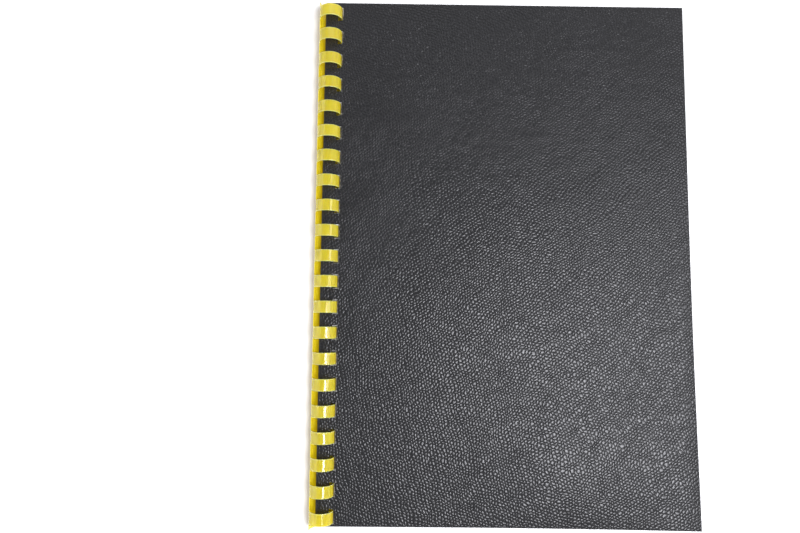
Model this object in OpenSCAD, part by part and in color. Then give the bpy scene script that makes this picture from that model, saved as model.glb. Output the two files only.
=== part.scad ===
// Comb-bound document: two covers and a stack of loose leaves, punched along
// one long edge and held by a plastic comb with rings curled round from a
// spine. Millimetres. +X runs from the comb to the fore-edge, +Y along the
// comb, +Z up. The origin is on the table, under the middle of the whole
// document. The leaves turn about the rings' common axis.

/* [Leaves] */
// height of the covers and the leaves, along the comb
leaf_height = 297; // [200:1:330]
// width of the covers, from the bound edge to the fore-edge
cover_width = 209.2; // [140:0.1:250]
// thickness of each cover board
cover_thickness = 0.4; // [0.2:0.05:0.8]
// number of loose leaves between the covers; each has a module below
leaf_count = 28; // [28:1:28]
// thickness of one leaf
leaf_thickness = 0.13; // [0.08:0.01:0.2]
// distance from one leaf to the next, with the air between them
leaf_pitch = 0.15; // [0.1:0.01:0.25]
// how far the bottom of the stack lies back, following the curve of the rings
stack_skew = 0.8; // [0:0.05:1]

/* [Punching] */
// distance between punched slots along the bound edge
slot_pitch = 14.2875; // [8:0.0005:20]
// number of slots, one for each ring
slot_count = 21; // [5:1:34]
// slot length along the bound edge
slot_length = 8; // [7:0.1:9]
// slot width across, in the covers
cover_slot_width = 3.3; // [2.5:0.05:3.6]
// slot width across, in the leaves
leaf_slot_width = 3.15; // [2.5:0.05:3.6]
// how far the row of slots sits below the middle of the leaves
slot_shift = 0.74; // [0:0.01:2]
// distance from the ring axis to the near edge of the front cover's slots
slot_start = 4.2; // [3.8:0.05:4.6]
// how far the covers' bound edge reaches past the ring axis
cover_reach = 2.7; // [1:0.1:2.8]
// distance from the ring axis to the leaves' bound edge
leaf_start = 1.5; // [0.5:0.1:1.6]

/* [Comb] */
// outer radius of a ring
ring_radius = 6.65; // [5:0.05:8]
// thickness of the comb's wall
comb_wall = 0.5; // [0.3:0.05:0.8]
// width of one ring along the comb
ring_width = 6.6; // [4:0.1:8]
// angle of the spine's lower edge; its upper edge, where the rings leave it, is at 180
spine_end = 290; // [270:1:292]
// how much wider the spine's curve is than the rings', so that their tips fit inside it
spine_out = 0.35; // [0.3:0.05:0.6]
// angle below the ring axis where each ring ends, tucked in behind the spine
ring_tip = 115; // [100:1:125]
// height of the front cover's face above the ring axis
cover_rise = 1.1; // [0.8:0.05:1.4]

/* [Hidden] */
$fn = 96;
flat = 0.35;                       // how much the ring is flattened below its right side
drop = 0.25;                       // how far the curl's centre lies below the ring axis
low_radius = ring_radius - flat;
tip_radius = low_radius - drop;
spine_radius = ring_radius + spine_out;
spine_length = slot_pitch * slot_count;
axis_height = spine_radius;   // the ring axis stands this far above the table
stack_depth = 2 * cover_thickness + leaf_count * leaf_pitch;
fore_edge = cover_width - cover_reach;
tilt = asin((axis_height - stack_depth + cover_rise) / (fore_edge - stack_skew));
half_width = (fore_edge * cos(tilt) + cover_rise * sin(tilt) + ring_radius) / 2;
axis_x = ring_radius - half_width;
tip_inset = 0.05;

// how far back a leaf lies whose upper face is at height h over the ring axis
function back(h) = stack_skew * (cover_rise - h) / (stack_depth - cover_thickness);

// places what is drawn about the ring axis
module at_axis() {
    translate([axis_x, 0, axis_height]) children();
}

// a punched leaf: near edge, far edge, upper face, thickness, near edge of its slots, slot width
module punched(x0, x1, top, thick, slot, slot_width) {
    rotate([0, tilt, 0])
        difference() {
            translate([x0, slot_shift - leaf_height / 2, top - thick])
                cube([x1 - x0, leaf_height, thick]);
            for (i = [0 : slot_count - 1])
                translate([slot, (i - (slot_count - 1) / 2) * slot_pitch - slot_length / 2, top - thick - 1])
                    cube([slot_width, slot_length, thick + 2]);
        }
}

// part of a curved wall in the XZ plane, from angle a to angle b about the ring axis
module curl(radius, a, b, width, wall = comb_wall) {
    rotate([90, 0, 0])
        rotate([0, 0, a])
            rotate_extrude(angle = b - a)
                translate([radius - wall, -width / 2]) square([wall, width]);
}

// one ring of the comb, from the spine's upper edge over the top and round to its tucked-in tip
module ring() {
    curl(ring_radius, 0, 180, ring_width);
    translate([flat, 0, 0]) curl(low_radius, -90, 0, ring_width);
    // the tucked-in end is a little thinner and narrower
    translate([flat, 0, -drop])
        curl(tip_radius - tip_inset, -ring_tip, -86, ring_width - 4 * tip_inset, comb_wall - 2 * tip_inset);
}

module leaf(number) {
    top = cover_rise - cover_thickness - leaf_pitch * (number - 1) - 0.01;
    color([0.96, 0.96, 0.94])
        at_axis()
            punched(leaf_start, fore_edge - 0.05 - back(top), top, leaf_thickness,
                    slot_start - back(top), leaf_slot_width);
}

module front_cover() {
    color([0.11, 0.11, 0.12])
        at_axis()
            punched(-cover_reach, fore_edge, cover_rise, cover_thickness, slot_start, cover_slot_width);
}

module back_cover() {
    top = cover_rise - stack_depth + cover_thickness;
    color([0.11, 0.11, 0.12])
        at_axis()
            punched(-cover_reach - stack_skew, fore_edge - stack_skew, top, cover_thickness,
                    slot_start - stack_skew, cover_slot_width);
}

module binding_comb() {
    color([0.86, 0.78, 0.22])
        at_axis() {
            translate([spine_out, 0, 0]) curl(spine_radius, 180, spine_end, spine_length);
            for (i = [0 : slot_count - 1])
                translate([0, (i - (slot_count - 1) / 2) * slot_pitch, 0]) ring();
        }
}

module sheet_01() { leaf(1); }
module sheet_02() { leaf(2); }
module sheet_03() { leaf(3); }
module sheet_04() { leaf(4); }
module sheet_05() { leaf(5); }
module sheet_06() { leaf(6); }
module sheet_07() { leaf(7); }
module sheet_08() { leaf(8); }
module sheet_09() { leaf(9); }
module sheet_10() { leaf(10); }
module sheet_11() { leaf(11); }
module sheet_12() { leaf(12); }
module sheet_13() { leaf(13); }
module sheet_14() { leaf(14); }
module sheet_15() { leaf(15); }
module sheet_16() { leaf(16); }
module sheet_17() { leaf(17); }
module sheet_18() { leaf(18); }
module sheet_19() { leaf(19); }
module sheet_20() { leaf(20); }
module sheet_21() { leaf(21); }
module sheet_22() { leaf(22); }
module sheet_23() { leaf(23); }
module sheet_24() { leaf(24); }
module sheet_25() { leaf(25); }
module sheet_26() { leaf(26); }
module sheet_27() { leaf(27); }
module sheet_28() { leaf(28); }

back_cover();
front_cover();
binding_comb();
sheet_01();
sheet_02();
sheet_03();
sheet_04();
sheet_05();
sheet_06();
sheet_07();
sheet_08();
sheet_09();
sheet_10();
sheet_11();
sheet_12();
sheet_13();
sheet_14();
sheet_15();
sheet_16();
sheet_17();
sheet_18();
sheet_19();
sheet_20();
sheet_21();
sheet_22();
sheet_23();
sheet_24();
sheet_25();
sheet_26();
sheet_27();
sheet_28();
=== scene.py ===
import math

import bpy
import numpy as np
from mathutils import Matrix, Vector


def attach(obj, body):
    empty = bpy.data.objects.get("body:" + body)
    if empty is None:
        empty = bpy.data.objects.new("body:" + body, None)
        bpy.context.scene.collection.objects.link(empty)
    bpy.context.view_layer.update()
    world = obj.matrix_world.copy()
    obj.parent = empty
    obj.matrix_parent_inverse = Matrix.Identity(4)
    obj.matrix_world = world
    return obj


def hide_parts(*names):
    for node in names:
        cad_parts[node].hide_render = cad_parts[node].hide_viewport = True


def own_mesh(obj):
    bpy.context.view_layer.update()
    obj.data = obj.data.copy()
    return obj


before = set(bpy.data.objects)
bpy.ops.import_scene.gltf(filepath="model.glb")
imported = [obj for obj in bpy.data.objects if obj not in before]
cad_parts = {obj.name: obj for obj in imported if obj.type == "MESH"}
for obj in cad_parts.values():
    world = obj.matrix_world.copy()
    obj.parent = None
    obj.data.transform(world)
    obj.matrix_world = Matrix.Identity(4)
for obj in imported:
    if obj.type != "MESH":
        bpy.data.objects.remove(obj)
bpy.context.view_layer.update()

# ---------------------------------------------------------------- the CAD's own numbers, in metres
MM = 0.001
R_RING = 6.65 * MM
FLAT = 0.35 * MM
DROP = 0.25 * MM
WALL = 0.5 * MM
PITCH = 14.2875 * MM
COUNT = 21
SLOT_PITCH = PITCH - 0.04 * MM      # moulded combs come out a touch longer than the punched row
LEAVES = 28
FORE = 206.5 * MM
SKEW = 0.8 * MM
STACK = 5.0 * MM
RISE = 1.1 * MM
A_START, A_END, A_TIP = 180.0, 290.0, 115.0
OUT = 0.35 * MM
SP_X, SP_Z = OUT, 0.0
R_SP = R_RING + OUT
AZ = R_SP - SP_Z
TILT = math.asin((AZ - STACK + RISE) / (FORE - SKEW))
REACH = R_SP - SP_X
HALF = (FORE * math.cos(TILT) + RISE * math.sin(TILT) + REACH) / 2
AX = REACH - HALF
LEAF_H = 297 * MM
SHIFT = 0.74 * MM
SPINE = COUNT * PITCH
LEAF_FRAME = Matrix.Translation((AX, 0, AZ)) @ Matrix.Rotation(TILT, 4, "Y")


# ---------------------------------------------------------------- helpers
def new_object(name, verts, faces, smooth_angle=35.0):
    mesh = bpy.data.meshes.new(name)
    mesh.from_pydata([tuple(map(float, v)) for v in verts], [], [tuple(map(int, f)) for f in faces])
    mesh.validate()
    mesh.polygons.foreach_set("use_smooth", [True] * len(mesh.polygons))
    mesh.set_sharp_from_angle(angle=math.radians(smooth_angle))
    obj = bpy.data.objects.new(name, mesh)
    bpy.context.scene.collection.objects.link(obj)
    return obj


def lerp(a, b, t):
    return a + (b - a) * t


# ---------------------------------------------------------------- node helpers
class Nodes:
    def __init__(self, name):
        self.mat = bpy.data.materials.new(name)
        self.mat.use_nodes = True
        self.t = self.mat.node_tree
        self.t.nodes.clear()
        self.out = self.t.nodes.new("ShaderNodeOutputMaterial")
        self.bsdf = self.t.nodes.new("ShaderNodeBsdfPrincipled")
        self.t.links.new(self.bsdf.outputs["BSDF"], self.out.inputs["Surface"])
        self.coord = self.t.nodes.new("ShaderNodeTexCoord").outputs["Object"]

    def link(self, a, b):
        self.t.links.new(a, b)

    def set(self, node, **values):
        for k, v in values.items():
            s = node.inputs[k.replace("_", " ")]
            if hasattr(v, "is_output"):
                self.link(v, s)
            else:
                s.default_value = v
        return node

    def noise(self, vector, scale, detail=2.0, rough=0.5, distortion=0.0, out="Fac"):
        n = self.t.nodes.new("ShaderNodeTexNoise")
        self.set(n, Vector=vector, Scale=scale, Detail=detail, Roughness=rough, Distortion=distortion)
        return n.outputs[out]

    def math(self, op, a, b=None, c=None, clamp=False):
        n = self.t.nodes.new("ShaderNodeMath")
        n.operation = op
        n.use_clamp = clamp
        for i, v in enumerate((a, b, c)):
            if v is None:
                continue
            if hasattr(v, "is_output"):
                self.link(v, n.inputs[i])
            else:
                n.inputs[i].default_value = v
        return n.outputs[0]

    def vmath(self, op, a, b=None, scale=None):
        n = self.t.nodes.new("ShaderNodeVectorMath")
        n.operation = op
        for i, v in enumerate((a, b)):
            if v is None:
                continue
            if hasattr(v, "is_output"):
                self.link(v, n.inputs[i])
            else:
                n.inputs[i].default_value = v
        if scale is not None:
            n.inputs["Scale"].default_value = scale
        return n.outputs[0]

    def dot(self, a, b):
        n = self.t.nodes.new("ShaderNodeVectorMath")
        n.operation = "DOT_PRODUCT"
        self.link(a, n.inputs[0])
        n.inputs[1].default_value = b
        return n.outputs["Value"]

    def attribute(self, name):
        n = self.t.nodes.new("ShaderNodeAttribute")
        n.attribute_name = name
        return n.outputs["Fac"]

    def remap(self, v, a, b, c, d, smooth=False):
        n = self.t.nodes.new("ShaderNodeMapRange")
        n.interpolation_type = "SMOOTHSTEP" if smooth else "LINEAR"
        self.link(v, n.inputs["Value"])
        for k, x in (("From Min", a), ("From Max", b), ("To Min", c), ("To Max", d)):
            n.inputs[k].default_value = x
        return n.outputs["Result"]

    def mix(self, fac, a, b):
        n = self.t.nodes.new("ShaderNodeMix")
        n.data_type = "RGBA"
        for s, v in ((n.inputs[0], fac), (n.inputs[6], a), (n.inputs[7], b)):
            if hasattr(v, "is_output"):
                self.link(v, s)
            else:
                s.default_value = v
        return n.outputs[2]

    def bump(self, height, strength, distance, normal=None):
        n = self.t.nodes.new("ShaderNodeBump")
        n.inputs["Strength"].default_value = strength
        n.inputs["Distance"].default_value = distance
        self.link(height, n.inputs["Height"])
        if normal is not None:
            self.link(normal, n.inputs["Normal"])
        return n.outputs["Normal"]


def srgb(r, g, b):
    def f(c):
        c /= 255.0
        return c / 12.92 if c <= 0.04045 else ((c + 0.055) / 1.055) ** 2.4

    return (f(r), f(g), f(b), 1.0)


# ---------------------------------------------------------------- materials
GRAIN_WAVE = 1.62 * MM


def leather_material():
    m = Nodes("leather_grain_board")
    # embossed pebbles about 1.9 mm apart: three crossing waves give close-packed rounds, and the noises bend their
    # rows every few pebbles
    p = m.coord
    for scale, size in ((16.0, 0.008), (70.0, 0.0030), (210.0, 0.0023), (450.0, 0.0013)):
        bend = m.noise(m.coord, scale, 1.0, 0.5, out="Color")
        p = m.vmath("ADD", p, m.vmath("SCALE", m.vmath("SUBTRACT", bend, (0.5, 0.5, 0.5)), scale=size))
    total = None
    for angle in (0.2, 0.2 + math.pi / 3, 0.2 + 2 * math.pi / 3):
        k = 2 * math.pi / GRAIN_WAVE
        along = m.dot(p, (k * math.cos(angle), k * math.sin(angle), 0.0))
        wave = m.math("COSINE", along)
        total = wave if total is None else m.math("ADD", total, wave)
    t = m.remap(total, -1.5, 3.0, 0.0, 1.0)
    # flat-topped rounds with narrow, dull grooves between them
    groove = m.math("EXPONENT", m.math("MULTIPLY", t, -1 / 0.16))
    dome = m.math("SUBTRACT", m.math("ADD", m.math("MULTIPLY", t, 0.40), 0.72), m.math("MULTIPLY", groove, 0.72))
    fine = m.noise(m.coord, 2600.0, 3.0, 0.6)
    broad = m.noise(m.coord, 30.0, 3.0, 0.55)
    uneven = m.noise(m.coord, 160.0, 2.0, 0.5)
    depth = m.math("MULTIPLY", m.remap(broad, 0.35, 0.65, 0.85, 1.0), m.remap(uneven, 0.3, 0.7, 0.8, 1.15))
    height = m.math("ADD", m.math("MULTIPLY", dome, depth), m.math("MULTIPLY", fine, 0.08))
    # painted shade: the base colour is darker in the narrow grooves between the pebbles than on their tops,
    # standing in for the shade that falls in the creases; the broad mix after it is random tone
    groove_shaded_base = m.mix(m.remap(t, 0.02, 0.40, 0.0, 1.0, smooth=True), srgb(11, 11, 12), srgb(33, 33, 35))
    groove_shaded_base = m.mix(m.remap(broad, 0.3, 0.7, 0.0, 0.25), groove_shaded_base, srgb(38, 38, 41))
    m.link(groove_shaded_base, m.bsdf.inputs["Base Color"])
    rough = m.math("ADD", m.remap(m.noise(m.coord, 700.0, 2.0, 0.5), 0.3, 0.7, -0.03, 0.03),
                   m.remap(t, 0.05, 0.20, 0.62, 0.23, smooth=True))
    m.link(rough, m.bsdf.inputs["Roughness"])
    m.bsdf.inputs["Specular IOR Level"].default_value = 0.38
    m.link(m.bump(height, 1.0, 0.00017), m.bsdf.inputs["Normal"])
    return m.mat


def board_edge_material():
    m = Nodes("board_cut_edge")
    n = m.noise(m.coord, 1800.0, 3.0, 0.6)
    m.link(m.mix(n, srgb(28, 28, 30), srgb(52, 52, 54)), m.bsdf.inputs["Base Color"])
    m.bsdf.inputs["Roughness"].default_value = 0.8
    m.link(m.bump(n, 0.3, 0.0001), m.bsdf.inputs["Normal"])
    return m.mat


def board_back_material():
    m = Nodes("board_plain_back")
    n = m.noise(m.coord, 900.0, 4.0, 0.6)
    b = m.noise(m.coord, 45.0, 2.0, 0.5)
    c = m.mix(m.remap(n, 0.3, 0.7, 0.0, 1.0), srgb(40, 40, 42), srgb(52, 52, 54))
    c = m.mix(m.remap(b, 0.3, 0.7, 0.0, 0.3), c, srgb(60, 60, 62))
    m.link(c, m.bsdf.inputs["Base Color"])
    m.bsdf.inputs["Roughness"].default_value = 0.72
    m.link(m.bump(n, 0.25, 0.00006), m.bsdf.inputs["Normal"])
    return m.mat


def plastic_material():
    m = Nodes("comb_plastic")
    n = m.noise(m.coord, 55.0, 3.0, 0.55)
    f = m.noise(m.coord, 1500.0, 2.0, 0.5)
    body = m.mix(m.remap(n, 0.3, 0.7, 0.0, 1.0), srgb(214, 180, 42), srgb(219, 186, 50))
    # painted highlight: where the rim attribute is set, along the ring edges, the colour is mixed toward a pale
    # yellow, standing in for the light the rounded edges catch
    rim = m.attribute("rim")
    m.link(m.mix(m.math("MULTIPLY", rim, 0.7), body, srgb(240, 226, 132)), m.bsdf.inputs["Base Color"])
    m.link(m.remap(f, 0.3, 0.7, 0.09, 0.13), m.bsdf.inputs["Roughness"])
    m.bsdf.inputs["IOR"].default_value = 1.54
    m.bsdf.inputs["Subsurface Weight"].default_value = 1.0
    m.bsdf.inputs["Subsurface Radius"].default_value = (1.0, 0.85, 0.3)
    m.bsdf.inputs["Subsurface Scale"].default_value = 0.004
    m.link(m.bump(f, 0.03, 0.00003), m.bsdf.inputs["Normal"])
    return m.mat


def paper_material():
    m = Nodes("paper_uncoated")
    f = m.noise(m.coord, 3000.0, 4.0, 0.7)
    b = m.noise(m.coord, 30.0, 2.0, 0.5)
    c = m.mix(m.remap(f, 0.3, 0.7, 0.0, 1.0), srgb(240, 240, 237), srgb(247, 247, 245))
    c = m.mix(m.remap(b, 0.3, 0.7, 0.0, 0.35), c, srgb(236, 236, 233))
    m.link(c, m.bsdf.inputs["Base Color"])
    m.bsdf.inputs["Roughness"].default_value = 0.88
    m.bsdf.inputs["Specular IOR Level"].default_value = 0.3
    m.link(m.bump(f, 0.18, 0.00003), m.bsdf.inputs["Normal"])
    return m.mat


def paper_edge_material():
    m = Nodes("paper_cut_edge")
    f = m.noise(m.coord, 1400.0, 3.0, 0.6)
    m.link(m.mix(f, srgb(222, 222, 218), srgb(244, 244, 241)), m.bsdf.inputs["Base Color"])
    m.bsdf.inputs["Roughness"].default_value = 0.92
    m.bsdf.inputs["Specular IOR Level"].default_value = 0.25
    m.link(m.bump(f, 0.3, 0.00004), m.bsdf.inputs["Normal"])
    return m.mat


LEATHER = leather_material()
EDGE = board_edge_material()
BACK = board_back_material()
PLASTIC = plastic_material()
PAPER = paper_material()
PAPER_EDGE = paper_edge_material()


# ---------------------------------------------------------------- leaves and covers
def punched_plate(name, x0, x1, top, thick, slot, slot_w, ncol, lift=None, rim=0.0, shift=(0.0, 0.0), ragged=None,
                  steps=2):
    """A punched leaf in the leaf frame, as a grid with holes. rim is a band along its outline that the knife has
    pressed down a little, and ragged moves the far edge of each slot, at steps + 1 places along it."""
    xs = [x0] + ([x0 + rim] if rim else []) + [(x0 + slot) / 2, slot, slot + slot_w]
    at_slot = len(xs) - 2
    far = x1 - rim if rim else x1
    xs += list(np.linspace(slot + slot_w, far, ncol + 1)[1:]) + ([x1] if rim else [])
    low, high = SHIFT - LEAF_H / 2, SHIFT + LEAF_H / 2
    ys = [low] + ([low + rim] if rim else [])
    row_slot = {}
    for i in range(COUNT):
        c = (i - (COUNT - 1) / 2) * SLOT_PITCH
        for e in np.linspace(c - 4 * MM, c + 4 * MM, steps + 1):
            row_slot[len(ys)] = i
            ys.append(e)
    ys += ([high - rim] if rim else []) + [high]
    nx, ny = len(xs), len(ys)
    hole = np.zeros((nx - 1, ny - 1), bool)
    for j in range(ny - 1):
        mid = (ys[j] + ys[j + 1]) / 2
        k = round(mid / SLOT_PITCH)
        if abs(mid - k * SLOT_PITCH) < 4 * MM and abs(k) <= (COUNT - 1) / 2:
            hole[at_slot, j] = True
    verts, faces, mats = [], [], []
    idx = {}

    def v(i, j, up):
        key = (i, j, up)
        if key not in idx:
            x, y = xs[i], ys[j]
            if ragged is not None and i == at_slot + 1 and j in row_slot:
                x += ragged[j]
            border = rim and (i in (0, nx - 1) or j in (0, ny - 1))
            z = (top - (0.09 * MM if border else 0.0)) if up else top - thick
            if lift:
                rise = lift(x, y)
                z += rise
                x -= rise * math.tan(TILT)
            idx[key] = len(verts)
            verts.append((x + shift[0], y + shift[1], z))
        return idx[key]

    for i in range(nx - 1):
        for j in range(ny - 1):
            if hole[i, j]:
                continue
            band = rim and (i in (0, nx - 2) or j in (0, ny - 2))
            faces.append((v(i, j, 1), v(i + 1, j, 1), v(i + 1, j + 1, 1), v(i, j + 1, 1)))
            mats.append(2 if band else 0)
            faces.append((v(i, j, 0), v(i, j + 1, 0), v(i + 1, j + 1, 0), v(i + 1, j, 0)))
            mats.append(1)
            for di, dj, a, b in ((-1, 0, (i, j + 1), (i, j)), (1, 0, (i + 1, j), (i + 1, j + 1)),
                                 (0, -1, (i, j), (i + 1, j)), (0, 1, (i + 1, j + 1), (i, j + 1))):
                ii, jj = i + di, j + dj
                if 0 <= ii < nx - 1 and 0 <= jj < ny - 1 and not hole[ii, jj]:
                    continue
                faces.append((v(*a, 1), v(*a, 0), v(*b, 0), v(*b, 1)))
                mats.append(2)
    verts = [LEAF_FRAME @ Vector(p) for p in verts]
    obj = new_object(name, verts, faces)
    obj.data.polygons.foreach_set("material_index", mats)
    return obj


low_edge = SHIFT - LEAF_H / 2


def cover_lift(x, y):
    """The front cover's lower fore-edge corner stands a little off the stack."""
    u = max(0.0, (x - 60 * MM) / (FORE - 60 * MM))
    v = max(0.0, (40 * MM - y) / (40 * MM + LEAF_H / 2))
    # and it bellies up a little before its lower edge
    a = max(0.0, 1 - ((x - 140 * MM) / (80 * MM)) ** 2)
    b = min(1.0, max(0.0, (y - low_edge) / (95 * MM)))
    belly = 6.75 * b * (1 - b) ** 2
    return 3.6 * MM * u * u * (v ** 2.2) + 1.7 * MM * a * a * belly


def dress(obj, node, materials):
    for mt in materials:
        obj.data.materials.append(mt)
    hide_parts(node)
    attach(obj, node)


rng = np.random.default_rng(7)
torn = rng.uniform(-0.22, 0.02, 9 * COUNT + 8) * MM
torn[:12] = 0.02 * MM
front = punched_plate("front_cover_board", -2.7 * MM, FORE, RISE, 0.4 * MM, 4.2 * MM, 3.1 * MM, 26, cover_lift,
                      0.3 * MM, ragged=torn[::-1], steps=8)
dress(front, "front_cover", (LEATHER, BACK, EDGE))
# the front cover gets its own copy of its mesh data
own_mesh(front)
dress(punched_plate("back_cover_board", -2.7 * MM - SKEW, FORE - SKEW, RISE - STACK + 0.4 * MM, 0.4 * MM,
                    4.2 * MM - SKEW, 3.3 * MM, 12), "back_cover", (BACK, LEATHER, EDGE))

# the leaves aren't quite square to each other, and the punch left their slots a little ragged
for i in range(LEAVES):
    top = RISE - 0.4 * MM - 0.15 * MM * i - 0.01 * MM
    back = SKEW * (RISE - top) / (STACK - 0.4 * MM)
    reach = 0.16 * MM if i < 3 else 0.05 * MM
    ragged = -reach + rng.uniform(-0.12, 0.12, 9 * COUNT + 4) * MM
    shift = (rng.uniform(-0.10, 0.03) * MM, rng.uniform(-0.22, 0.22) * MM)
    leaf = punched_plate("leaf_%02d" % (i + 1), 1.5 * MM, FORE - 0.05 * MM - back, top, 0.13 * MM, 4.2 * MM - back,
                         3.15 * MM, 3, shift=shift, ragged=ragged, steps=8 if i < 4 else 2)
    dress(leaf, "sheet_%02d" % (i + 1), (PAPER, PAPER, PAPER_EDGE))


# ---------------------------------------------------------------- the comb
def comb():
    """One moulding: a curved spine below, and rings that run from its upper edge over the top and curl back inside it."""
    path = []  # (centre x, centre z, outer radius, angle, is spine, distance past the spine's edge)
    for a in np.linspace(A_END, A_START, 30):
        path.append((SP_X, SP_Z, R_SP, a, True, 0.0))
    n_sp = len(path)
    fillet = 0.45 * MM
    for d in (0.04, 0.1, 0.18, 0.28, 0.45):
        path.append((0, 0, R_RING, A_START - math.degrees(d * MM / R_RING), False, d * MM))
    for a in np.linspace(path[-1][3], 0, 44)[1:]:
        path.append((0, 0, R_RING, a, False, 1.0))
    for a in np.linspace(0, -90, 22)[1:]:
        path.append((FLAT, 0, R_RING - FLAT, a, False, 1.0))
    for a in np.linspace(-90, -A_TIP, 8)[1:]:
        path.append((FLAT, -DROP, R_RING - FLAT - DROP, a, False, 1.0))
    rows = len(path)
    half = 3.3 * MM
    tip_from = rows - 8
    ts = [-1.0, -0.985, -0.955, -0.91, -0.87, -0.85, -0.83, -0.6, -0.2, 0.2, 0.6, 0.83, 0.85, 0.87, 0.91, 0.955, 0.985, 1.0]

    def width(k):
        _, _, _, _, sp, d = path[k]
        w = half
        if sp:
            w = half + fillet
        elif d < fillet:
            q = 1 - d / fillet
            w = half + fillet * (1 - math.sqrt(max(0.0, 1 - q * q)))
        if k >= tip_from:
            q = (k - tip_from) / (rows - 1 - tip_from)
            w = half * (1 - 0.28 * q ** 2.2)
        return w

    cols = [("e", -1, t) for t in (1.0, 0.96, 0.6, 0.2)]
    for i in range(COUNT):
        cols += [("f", i, t) for t in ts]
        if i < COUNT - 1:
            cols += [("g", i, t) for t in (0.2, 0.5, 0.8)]
    cols += [("e", 1, t) for t in (0.2, 0.6, 0.96, 1.0)]
    count = len(cols)

    def centre(i):
        return (i - (COUNT - 1) / 2) * PITCH

    def col_y(c, k):
        kind, i, t = c
        w = width(k)
        if kind == "f":
            return centre(i) + t * w
        if kind == "g":
            return lerp(centre(i) + w, centre(i + 1) - w, t)
        return i * lerp(centre(COUNT - 1) + w, SPINE / 2, t)

    def rim(t):
        q = max(0.0, (abs(t) - 0.85) / 0.15)
        return 1 - math.sqrt(max(0.0, 1 - q * q))

    verts, faces, idx, painted_rim_highlight = [], [], {}, []

    def v(k, c, outer):
        key = (k, c, outer)
        if key not in idx:
            cx, cz, r, a, sp, d = path[k]
            kind, i, t = cols[c]
            mid = r - WALL / 2
            h = WALL / 2
            fade = min(1.0, d / fillet)
            if not sp and kind == "f":
                h *= 1 - (0.85 if outer else 0.5) * fade * rim(t)
            if kind == "e" and t > 0.95:
                h *= 0.94 if t < 1 else 0.6
            if k >= tip_from:
                q = (k - tip_from) / (rows - 1 - tip_from)
                h *= 1 - 0.45 * q * q
            if k <= 2:
                h *= 1 - 0.45 * ((2 - k) / 2) ** 2
            rr = mid + h if outer else mid - h
            ar = math.radians(a)
            idx[key] = len(verts)
            # painted highlight: weight along the ring edges that the plastic mixes toward pale yellow, standing in
            # for the light the rounded edges catch
            painted_rim_highlight.append(fade * min(1.0, max(0.0, (abs(t) - 0.85) / 0.09)) if kind == "f" and not sp else 0.0)
            verts.append((AX + cx + rr * math.cos(ar), col_y(cols[c], k), AZ + cz + rr * math.sin(ar)))
        return idx[key]

    def there(k, c):
        if not (0 <= k < rows - 1 and 0 <= c < count - 1):
            return False
        if k + 1 < n_sp:
            return True
        a, b = cols[c], cols[c + 1]
        return a[0] == "f" and b[0] == "f" and a[1] == b[1]

    for k in range(rows - 1):
        for c in range(count - 1):
            if not there(k, c):
                continue
            faces.append((v(k, c, 1), v(k, c + 1, 1), v(k + 1, c + 1, 1), v(k + 1, c, 1)))
            faces.append((v(k, c, 0), v(k + 1, c, 0), v(k + 1, c + 1, 0), v(k, c + 1, 0)))
            for dk, dc, p, q in ((-1, 0, (k, c), (k, c + 1)), (1, 0, (k + 1, c + 1), (k + 1, c)),
                                 (0, -1, (k + 1, c), (k, c)), (0, 1, (k, c + 1), (k + 1, c + 1))):
                if not there(k + dk, c + dc):
                    faces.append((v(*p, 1), v(*p, 0), v(*q, 0), v(*q, 1)))
    obj = new_object("binding_comb_moulding", verts, faces, 50.0)
    obj.data.attributes.new("rim", "FLOAT", "POINT").data.foreach_set("value", painted_rim_highlight)
    return obj


comb_obj = comb()
comb_obj.data.materials.append(PLASTIC)
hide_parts("binding_comb")
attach(comb_obj, "binding_comb")

# ---------------------------------------------------------------- floor, light and camera
floor_mesh = bpy.data.meshes.new("floor")
S = 6.0
floor_mesh.from_pydata([(-S, -S, 0), (S, -S, 0), (S, S, 0), (-S, S, 0)], [], [(0, 1, 2, 3)])
floor = bpy.data.objects.new("floor", floor_mesh)
bpy.context.scene.collection.objects.link(floor)
fm = Nodes("pale_floor")
fn = fm.noise(fm.coord, 6.0, 2.0, 0.5)
fm.link(fm.mix(fn, (0.88, 0.88, 0.88, 1), (0.90, 0.90, 0.90, 1)), fm.bsdf.inputs["Base Color"])
fm.bsdf.inputs["Roughness"].default_value = 0.95
fm.bsdf.inputs["Specular IOR Level"].default_value = 0.1
floor_mesh.materials.append(fm.mat)

world = bpy.data.worlds.new("studio")
bpy.context.scene.world = world
world.use_nodes = True
wt = world.node_tree
bg = wt.nodes["Background"]
geo = wt.nodes.new("ShaderNodeTexCoord")
sep = wt.nodes.new("ShaderNodeSeparateXYZ")
wt.links.new(geo.outputs["Generated"], sep.inputs[0])
sq = wt.nodes.new("ShaderNodeMath")
sq.operation = "MULTIPLY"
wt.links.new(sep.outputs["Z"], sq.inputs[0])
wt.links.new(sep.outputs["Z"], sq.inputs[1])
ramp = wt.nodes.new("ShaderNodeMapRange")
wt.links.new(sq.outputs[0], ramp.inputs["Value"])
for k, x in (("From Min", 0.0), ("From Max", 1.0), ("To Min", 0.74), ("To Max", 0.13)):
    ramp.inputs[k].default_value = x
wt.links.new(ramp.outputs["Result"], bg.inputs["Strength"])
bg.inputs["Color"].default_value = (1, 1, 1, 1)


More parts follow.
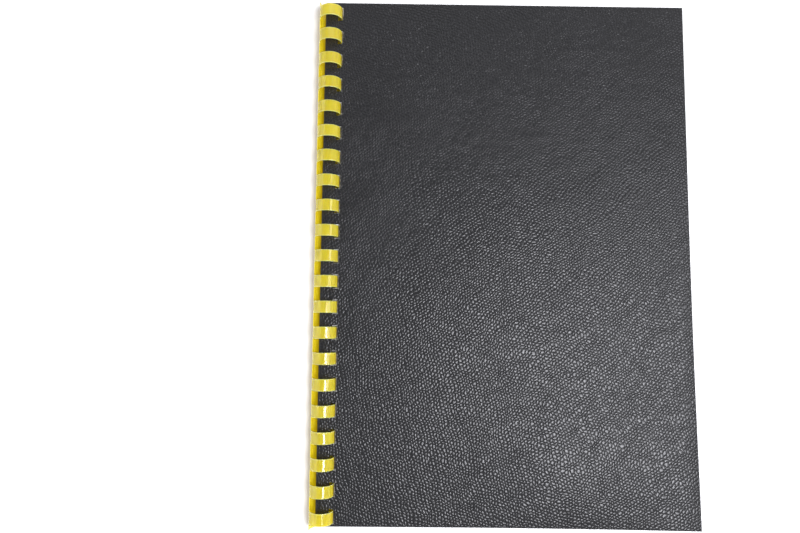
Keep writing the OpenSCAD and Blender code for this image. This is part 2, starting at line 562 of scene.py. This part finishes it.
def area(name, loc, target, sx, sy, radiance, right=(1, 0, 0)):
    """A rectangular light: sx along right, sy across it, facing target."""
    light = bpy.data.lights.new(name, "AREA")
    light.shape = "RECTANGLE"
    light.size, light.size_y = sx, sy
    light.energy = radiance * math.pi * sx * sy
    light.color = (0.975, 0.98, 1.035)
    o = bpy.data.objects.new(name, light)
    z = (Vector(loc) - Vector(target)).normalized()
    x = Vector(right)
    x = (x - z * x.dot(z)).normalized()
    y = z.cross(x)
    o.matrix_world = Matrix.Translation(loc) @ Matrix((x, y, z)).transposed().to_4x4()
    o.visible_camera = False
    bpy.context.scene.collection.objects.link(o)
    return o


area("softbox_overhead", (AX + 0.44, -0.250, 1.0), (AX + 0.44, -0.250, 0), 0.40, 0.46, 19.5)
area("fill_right", (AX + 1.10, 0.05, 1.0), (AX + 1.10, 0.05, 0), 0.8, 0.7, 4.2)
area("fill_far", (AX + 0.25, 0.86, 1.0), (AX + 0.25, 0.86, 0), 1.3, 0.55, 1.1)
area("strip_left", (AX - 0.75, -0.10, 0.11), (AX, -0.10, 0.0), 0.7, 0.08, 2.5, right=(0, 1, 0))
area("fill_left", (AX - 0.72, 0.0, 0.52), (AX - 0.01, 0.0, 0.0), 1.0, 0.6, 1.2, right=(0, 1, 0))

# the camera that was fitted to the rings and the cover's edges, given in the leaf frame
cam_data = bpy.data.cameras.new("camera")
cam_data.sensor_width = 36.0
cam_data.lens = 594.414 / 800 * 36
cam_data.clip_start = 0.01
cam = bpy.data.objects.new("camera", cam_data)
pose = (
    LEAF_FRAME
    @ Matrix.Translation(Vector((39.317, -34.071, 334.294)) * MM + Vector((0, 0, RISE)))
    @ Matrix.Rotation(0.0100661, 4, "Z")
    @ Matrix.Rotation(-0.00842434, 4, "Y")
    @ Matrix.Rotation(0.0854001, 4, "X")
)
cam.matrix_world = pose
bpy.context.scene.collection.objects.link(cam)
bpy.context.scene.camera = cam

bpy.context.scene.view_settings.view_transform = "Standard"
bpy.context.scene.view_settings.look = "None"

bpy.context.view_layer.update()
